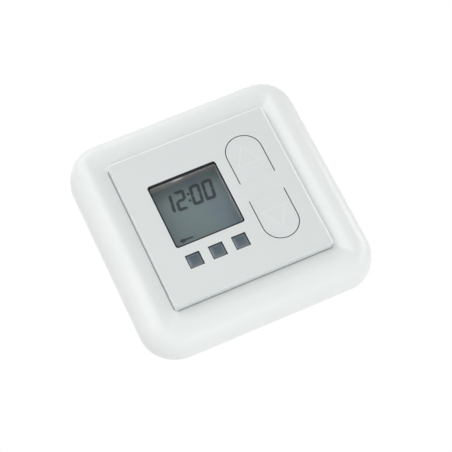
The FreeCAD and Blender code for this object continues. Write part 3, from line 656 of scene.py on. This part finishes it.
def make_cover_frame():
    """The white frame: facet, crest and bulge outside, hollow with ribs behind, and the plate's ledge."""
    rim, outside = frame_profile(0)
    inner_rim, inside = frame_profile(frame_wall)
    wall = opening_half + inner_wall
    slope = math.tan(facet_angle)
    profile = [
        (ledge_half, opening_corner, ledge_top),
        (opening_half, opening_corner, ledge_top),
        (opening_half, opening_corner, rim - opening_lip),
        (opening_half + opening_lip / 3, opening_corner, rim - opening_lip / 3),
        (opening_half + opening_lip, opening_corner, rim + opening_lip * slope)]
    profile += outside
    profile += [
        (frame_half, frame_corner, 0),
        (frame_half - frame_wall, frame_corner - frame_wall, 0)]
    profile += inside[::-1]
    profile += [
        (wall, opening_corner, inner_rim + inner_wall * slope),
        (wall, opening_corner, ledge_bottom),
        (ledge_half, opening_corner, ledge_bottom)]
    rings = [rounded(half, half, corner, height) for half, corner, height in profile]
    shell = loft(rings, True)
    ribs = []
    roof = [(half, height) for half, corner, height in frame_profile(frame_wall - rib_overlap)[1]]
    foot = [(half, height) for half, height in roof if height > rib_bottom]
    path = [(wall - rib_overlap, rib_bottom), (wall - rib_overlap, crest_height - frame_wall)] + foot
    path.append((frame_half - frame_wall + rib_overlap, rib_bottom))
    for turn in range(4):
        quarter = Matrix.Rotation(math.pi / 2 * turn, 3, "Y")
        for side in (-1, 1):
            edge = side * rib_place - rib_thickness / 2
            points = [quarter @ at(half, edge, height) for half, height in path]
            ribs.append(prism(points, quarter @ Vector((0, 0, rib_thickness))))
    settle(join([shell] + ribs), "cover_frame_shell", "base", "frame_white",
           finishes["frame_white"], "cover_frame")


def make_button(name):
    """A small square button with a soft crown, a flange behind the plate and a stem."""
    low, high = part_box(name)
    centre = ((low.x + high.x) / 2, (low.z + high.z) / 2)
    half = button_side / 2
    profile = [
        (button_stem_side / 2, switch_top),
        (button_stem_side / 2, button_flange_top - button_flange_thickness),
        (button_flange_side / 2, button_flange_top - button_flange_thickness),
        (button_flange_side / 2, button_flange_top),
        (half, button_flange_top)]
    for step in range(button_round_steps + 1):
        turn = math.radians(90 * step / button_round_steps)
        profile.append((half - button_round * (1 - math.cos(turn)),
                        button_top - button_crown - button_round * (1 - math.sin(turn))))
    for share in crown_shares:
        profile.append((half * share * crown_reach, button_top - button_crown * share ** 2))
    rings = [rounded(reach, reach, min(button_corner, reach / 2), height, centre)
             for reach, height in profile]
    piece = loft(rings, False)
    settle(piece, name + "_cap", name, "button_grey", finishes["button_grey"], name)


def triangle_ring(side, inset, height):
    """The corners of a key's triangle, drawn in from its outline by a distance."""
    slant = math.hypot(triangle_half, triangle_height)
    base = triangle_base + inset
    tip = triangle_base + triangle_height - inset * slant / triangle_half
    reach = (tip - base) * triangle_half / triangle_height
    return [at(key_x + x, key_z + side * z, height) for x, z in ((-reach, base), (reach, base), (0, tip))]


def make_ridge(key, side):
    """Soft flanks on both sides of a triangle's raised lines."""
    foot, crown = plate_top - ridge_sink, plate_top + triangle_relief - ridge_sink
    profile = (
        (-ridge_slope, foot),
        (0, crown),
        (triangle_line, crown),
        (triangle_line + ridge_slope, foot))
    rings = [triangle_ring(side, inset, height) for inset, height in profile]
    settle(loft(rings, True), key + "_ridge", key, "plate_white", finishes["plate_white"])


def make_bezel():
    """The dark rim between pane and glass, with a chamfer round its front that catches the light."""
    low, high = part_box("display_bezel")
    front, back = -low.y, -high.y
    centre = (window_x, window_z)
    outer_x, outer_z = (high.x - low.x) / 2, (high.z - low.z) / 2
    inner = window_half + bezel_step
    seat_x, seat_z = outer_x - bezel_wall, outer_z - bezel_wall
    profile = [
        (outer_x, outer_z, window_corner, back),
        (outer_x, outer_z, window_corner, front),
        (inner + bezel_chamfer, inner + bezel_chamfer, window_corner, front),
        (inner, inner, window_corner, front - bezel_chamfer),
        (inner, inner, window_corner, glass_front),
        (seat_x, seat_z, bezel_step, glass_front),
        (seat_x, seat_z, bezel_step, back)]
    rings = [rounded(half_x, half_z, corner, height, centre)
             for half_x, half_z, corner, height in profile]
    settle(loft(rings, True), "display_bezel_rim", "base", "bezel_grey",
           finishes["bezel_grey"], "display_bezel")


def make_border():
    """A dark border round the edge of the clear pane, wider at the top: painted shade standing in for the
    shaded walls of the window.
    """
    front = -window_low.y
    outer = window_half - border_gap
    inner = outer - border_width
    profile = [
        (outer, 0, window_corner, front - print_thickness),
        (outer, 0, window_corner, front + print_thickness),
        (inner, border_top / 2, window_corner - border_width / 2, front + print_thickness),
        (inner, border_top / 2, window_corner - border_width / 2, front - print_thickness)]
    rings = [rounded(half, half - drop, corner, height, (window_x, window_z - drop))
             for half, drop, corner, height in profile]
    settle(loft(rings, True), "pane_border", "base", "bezel_grey",
           printed("border_shade", (0.012, 0.012, 0.014)))


def segment_points(which):
    """The outline of one of a digit's seven bars, measured from the digit's lower left corner."""
    width, height, stroke, cut, gap = digit_width, digit_height, digit_stroke, digit_corner, digit_gap
    middle, half = height / 2, stroke / 2
    top = [
        (cut, height), (width - cut, height), (width - cut / 2 - gap, height - cut / 2),
        (width - stroke - gap, height - stroke), (stroke + gap, height - stroke),
        (cut / 2 + gap, height - cut / 2)]
    right = [
        (width - cut / 2, height - cut / 2 - gap), (width, height - cut - gap),
        (width, middle + half / 2), (width - half, middle + gap),
        (width - stroke, middle + half), (width - stroke, height - stroke - gap)]
    bar = [
        (gap + half, middle), (stroke + gap, middle + half),
        (width - stroke - gap, middle + half), (width - gap - half, middle),
        (width - stroke - gap, middle - half), (stroke + gap, middle - half)]
    bars = {"a": top, "b": right, "g": bar,
            "f": [(width - x, z) for x, z in right],
            "d": [(x, height - z) for x, z in top],
            "c": [(x, height - z) for x, z in right],
            "e": [(width - x, height - z) for x, z in right]}
    return bars[which]


def display_shapes():
    """The outlines of all that shows on the display: bars, the colon's two dots and a small arrow."""
    shapes = []
    for left, bars in digit_places.values():
        for which in bars:
            shapes.append([(left + x, digit_low + z) for x, z in segment_points(which)])
    for level in colon_levels:
        low = digit_low + level * digit_height
        shapes.append([(colon_place, low), (colon_place + colon_side, low),
                       (colon_place + colon_side, low + colon_side), (colon_place, low + colon_side)])
    shapes = [[(x + digit_slant * (z - digit_low), z) for x, z in shape] for shape in shapes]
    x, z = arrow_place.x, arrow_place.z
    reach = arrow_height / 2
    shapes.append([(x, z), (x + arrow_length / 2, z - reach), (x + arrow_length, z - reach / 2),
                   (x + arrow_length, z + reach / 2), (x + arrow_length / 2, z + reach)])
    x += arrow_length + arrow_gap
    reach = arrow_stroke / 2
    shapes.append([(x, z - reach), (x + arrow_dash, z - reach),
                   (x + arrow_dash, z + reach), (x, z + reach)])
    return shapes


def spread(shape, reach):
    """An outline whose points are moved outwards from its middle."""
    middle = sum((Vector(point) for point in shape), Vector((0, 0))) / len(shape)
    moved = []
    for point in shape:
        arm = Vector(point) - middle
        moved.append(middle + arm * (1 + reach / arm.length))
    return moved


def make_digits():
    """The time on the display, and the soft shadow that its bars throw on the ground behind them, painted
    as a part-clear dark copy of the bars.
    """
    bars = [prism([at(x, z, glass_front + print_thickness) for x, z in shape], (0, -print_thickness, 0))
            for shape in display_shapes()]
    settle(join(bars), "display_digits", "base", "display_glass",
           printed("display_print", (0.016, 0.028, 0.034)))
    shadows = []
    for shape in display_shapes():
        points = [at(x, z, glass_front) + shadow_shift for x, z in spread(shape, shadow_spread)]
        shadows.append(prism(points, (0, -print_thickness / 2, 0)))
    settle(join(shadows), "digit_shadows", "base", "display_glass",
           printed("shadow_print", (0.055, 0.070, 0.078), 0.4))


def lamp(name, azimuth, elevation, distance, size, power):
    """A soft square lamp that shines at the object, turned to the right and raised from the front."""
    turned = Matrix.Rotation(math.radians(azimuth), 3, "Z")
    raised = Matrix.Rotation(math.radians(-elevation), 3, "X")
    place = turned @ raised @ Vector((0, -distance, 0))
    light = bpy.data.lights.new(name, "AREA")
    light.size = size
    light.energy = power
    holder = bpy.data.objects.new(name, light)
    bpy.context.scene.collection.objects.link(holder)
    holder.location = place
    holder.rotation_euler = (-place).to_track_quat("-Z", "Y").to_euler()
    holder.visible_camera = False


def make_stage():
    """Pale floor below, white surroundings, soft lamps and the camera."""
    deselect()
    bpy.ops.mesh.primitive_plane_add(size=floor_size, location=(0, 0, floor_height))
    floor = bpy.context.object
    floor.name = "floor"
    shader = Shader("floor_paint")
    x, y = shader.axes()[:2]
    reach = x.math("SQRT", x * x + y * y)
    far = shader.steps(reach, floor_near, floor_far)
    near = shader.node("BsdfPrincipled", {}, {
        "Base Color": shader.mix(shader.noise(floor_grain), (0.80, 0.80, 0.80), (0.82, 0.82, 0.82)),
        "Roughness": 0.9,
        "Emission Color": shader.mix(shader.seen(), (0, 0, 0), (floor_glow, floor_glow, floor_glow)),
        "Emission Strength": 1.0})
    white = shader.node("Emission", {}, {"Color": (1, 1, 1, 1), "Strength": 1.0})
    floor.data.materials.append(shader.end(
        shader.node("MixShader", {}, {0: far * shader.seen(), 1: near, 2: white})))

    world = Shader("surroundings", bpy.data.worlds)
    light = world_light + (1 - world_light) * world.seen()
    bpy.context.scene.world = world.end(
        world.node("Background", {}, {"Color": (1, 1, 1, 1), "Strength": light}), "OutputWorld")

    for name, (azimuth, elevation, distance, size, power) in lamps.items():
        lamp(name, azimuth, elevation, distance, size, power)

    camera = bpy.data.objects.new("camera", bpy.data.cameras.new("camera"))
    bpy.context.scene.collection.objects.link(camera)
    camera.data.lens = camera_lens
    camera.location = camera_place
    turn = camera_direction.to_track_quat("-Z", "Y").to_matrix() @ Matrix.Rotation(camera_roll, 3, "Z")
    camera.rotation_euler = turn.to_euler()
    bpy.context.scene.camera = camera


dress_nodes()
make_cover_frame()
for button in ("left_button", "middle_button", "right_button"):
    make_button(button)
for key, side in (("up_key", 1), ("down_key", -1)):
    make_ridge(key, side)
make_bezel()
make_border()
make_digits()
make_stage()
bpy.context.scene.view_settings.view_transform = "Standard"
